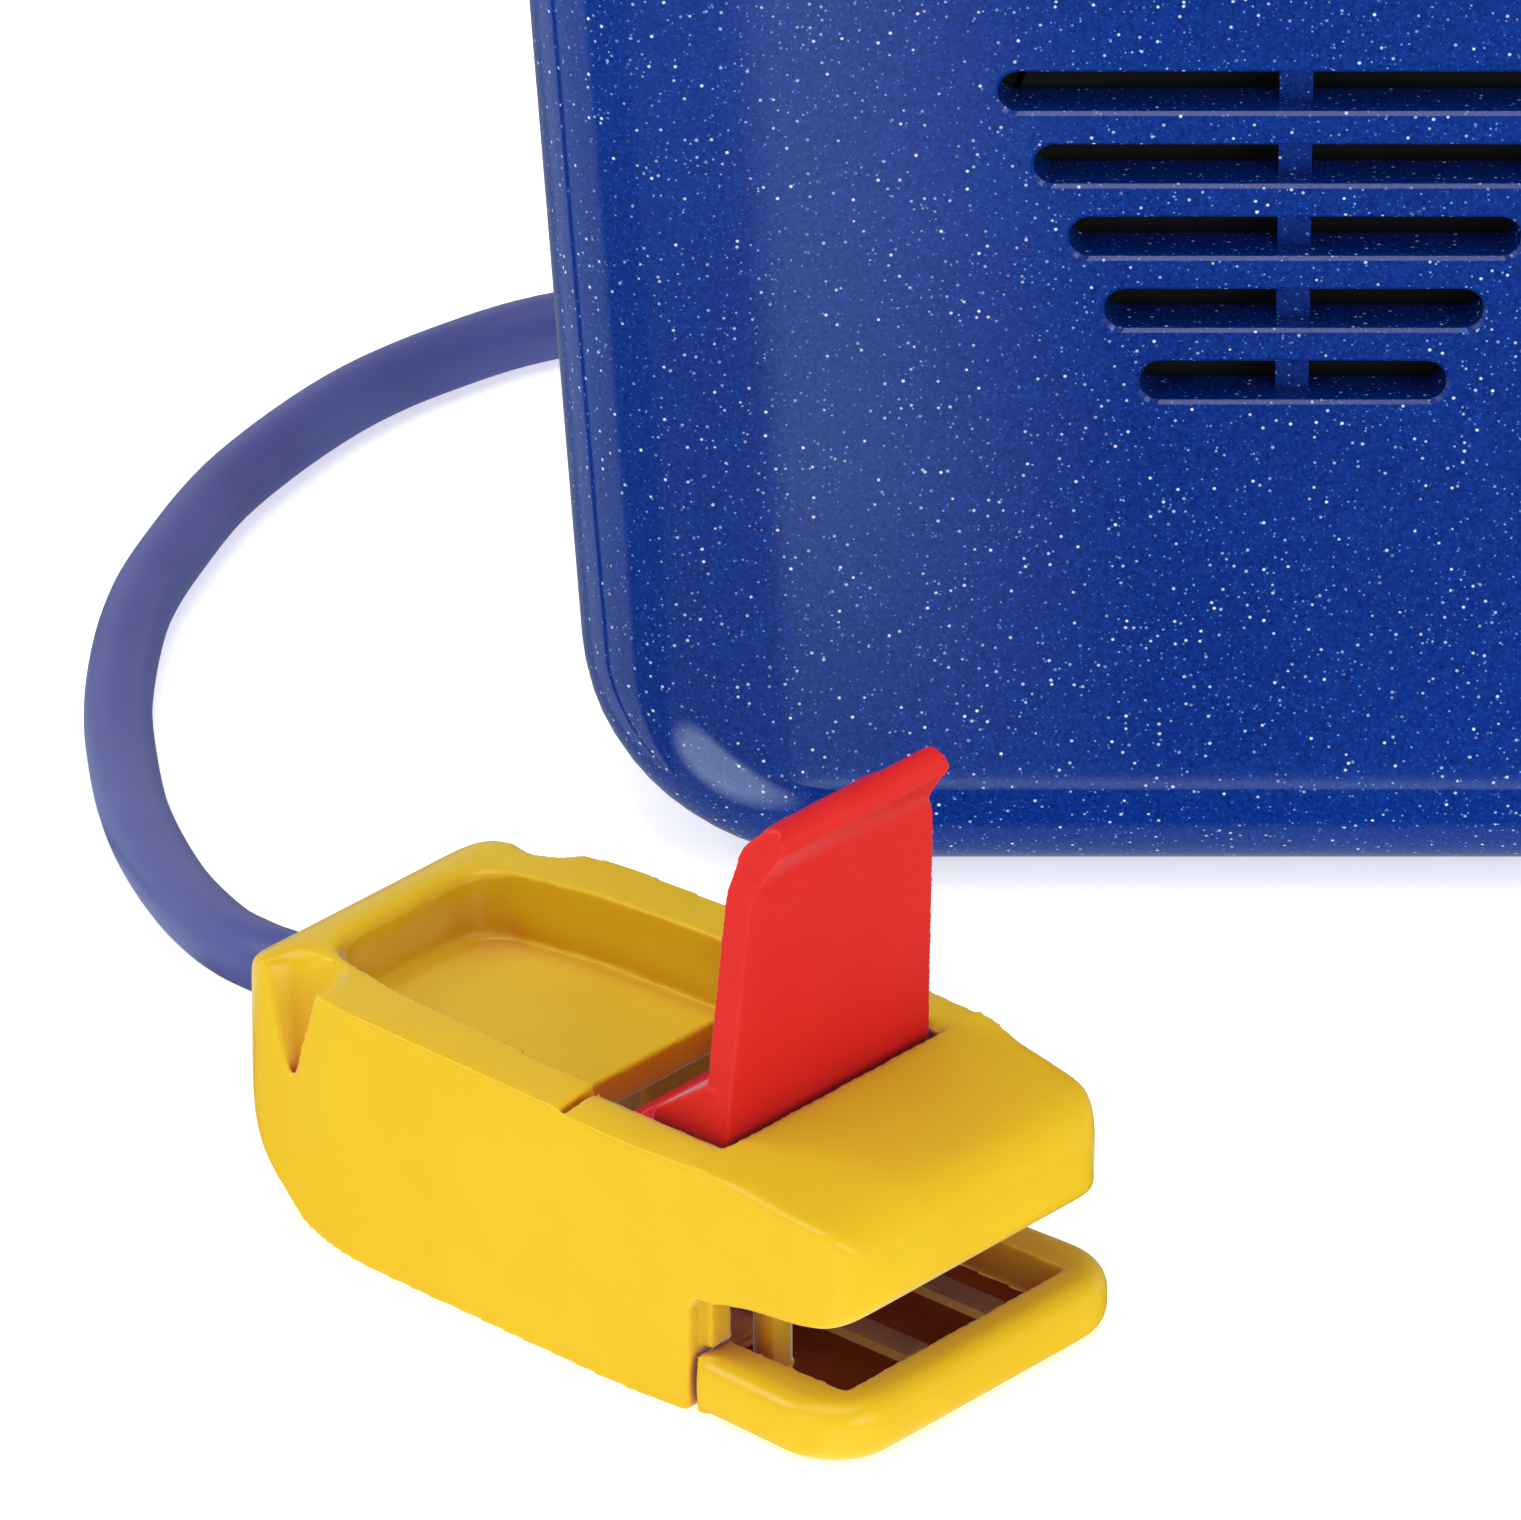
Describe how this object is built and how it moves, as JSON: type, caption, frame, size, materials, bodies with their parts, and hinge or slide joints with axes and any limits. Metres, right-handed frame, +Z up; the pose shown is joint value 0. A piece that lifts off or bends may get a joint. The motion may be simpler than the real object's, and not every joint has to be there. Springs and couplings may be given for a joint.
{
  "type": "wearable moisture alarm",
  "caption": "Palm-sized moisture alarm: slotted sounder case with garment clip and battery door, joined by a thin lead to a cam-lever clip that holds cloth over contact strips.",
  "frame": {"origin": "centre of the case's base, on the table", "axes": "+Z up, the slotted face towards -Y, +X to the right seen from the front"},
  "size_m": [0.0795, 0.1332, 0.0668],
  "materials": {
    "blue_glitter_abs": "gloss, with fine silver flecks",
    "yellow_abs": "gloss",
    "red_abs": "gloss",
    "lead_pvc": "satin",
    "black_abs": "satin",
    "board": "solder mask",
    "steel": "nickel plated",
    "brass": "bright",
    "paper_cone": "pressed paper",
    "cell_wrap": "printed film over the can",
    "lamp_lens": "clear tinted",
    "white_abs": "satin"
  },
  "bodies": {
    "case": {"alarm_chip": "black_abs", "battery_a": "cell_wrap", "battery_b": "cell_wrap", "battery_tray": "black_abs", "board_screw_1": "steel", "board_screw_2": "steel", "case_back": "blue_glitter_abs", "case_front": "blue_glitter_abs", "case_screw_1": "steel", "case_screw_2": "steel", "case_screw_3": "steel", "case_screw_4": "steel", "cell_plate_a": "steel", "cell_plate_b": "steel", "cell_spring_a": "steel", "cell_spring_b": "steel", "circuit_board": "board", "clip_base": "yellow_abs", "clip_housing": "yellow_abs", "coil_tie": "black_abs", "contact_strip_left": "brass", "contact_strip_right": "brass", "foot_spring_left": "steel", "foot_spring_right": "steel", "garment_clip": "steel", "garment_screw": "steel", "lead_coil": "lead_pvc", "lead_plug": "lead_pvc", "lead_run": "lead_pvc", "lead_socket": "black_abs", "lead_tail": "lead_pvc", "lever_pin": "steel", "mode_switch": "steel", "plug_boot": "lead_pvc", "reset_switch": "black_abs", "signal_lamp": "lamp_lens", "sounder_cone": "paper_cone", "sounder_frame": "steel", "sounder_magnet": "steel", "vibration_motor": "steel"},
    "lever": {"cam_lever": "red_abs"},
    "foot": {"presser_foot": "red_abs"},
    "door": {"battery_door": "blue_glitter_abs"},
    "button": {"reset_button": "white_abs"},
    "slider": {"mode_slider": "black_abs"},
    "weight": {"motor_weight": "brass"}
  },
  "joints": [
    {"name": "lever_fold", "type": "hinge", "parent": "case", "child": "lever", "pos_m": [-0.01972, -0.04507, 0.0082], "axis": [-0.6639, -0.7478, 0], "range_deg": [0, 95]},
    {"name": "foot_press", "type": "slide", "parent": "case", "child": "foot", "axis": [0, 0, -1], "range_m": [0, 0.0018], "deforming": ["foot_spring_left", "foot_spring_right"]},
    {"name": "door_swing", "type": "hinge", "parent": "case", "child": "door", "pos_m": [0, 0.0108, 0.0323], "axis": [-1, 0, 0], "range_deg": [0, 90]},
    {"name": "reset_press", "type": "slide", "parent": "case", "child": "button", "axis": [0, 0, -1], "range_m": [0, 0.0005], "stiffness_N_per_m": 400, "springref_m": -0.0003},
    {"name": "mode_slide", "type": "slide", "parent": "case", "child": "slider", "axis": [1, 0, 0], "range_m": [-0.0015, 0.0015]},
    {"name": "weight_spin", "type": "hinge", "parent": "case", "child": "weight", "pos_m": [0.01, 0.001, 0.0165], "axis": [1, 0, 0], "continuous": true}
  ],
  "couplings": [
    {"joint": "lever_fold", "follows": "foot_press", "rad_per_m": 921.14}
  ]
}
